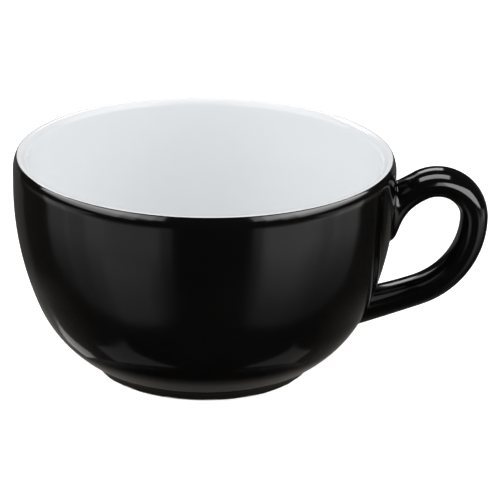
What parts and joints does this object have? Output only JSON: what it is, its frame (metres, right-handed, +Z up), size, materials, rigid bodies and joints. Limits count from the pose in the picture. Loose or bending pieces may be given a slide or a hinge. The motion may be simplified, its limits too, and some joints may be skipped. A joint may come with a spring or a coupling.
{
  "type": "coffee cup",
  "caption": "Wide bowl-shaped ceramic cup with a loop handle and a short foot ring, black glaze outside and white glaze inside, for holding a hot drink.",
  "frame": {"origin": "on the bowl's axis, in the plane that the foot stands on", "axes": "+Z up along the bowl's axis, +X towards the handle, +Y to the left of the handle seen from above"},
  "size_m": [0.1119, 0.09, 0.0523],
  "materials": {
    "clay": "bare fired clay",
    "slip": "dried slip under the glaze",
    "white_glaze": "gloss",
    "black_glaze": "gloss"
  },
  "bodies": {
    "root": {"bowl": "clay", "handle": "clay", "upper_slip_joint": "slip", "lower_slip_joint": "slip", "inside_glaze": "white_glaze", "outside_glaze": "black_glaze", "handle_glaze": "black_glaze", "base_glaze": "black_glaze"}
  },
  "joints": []
}
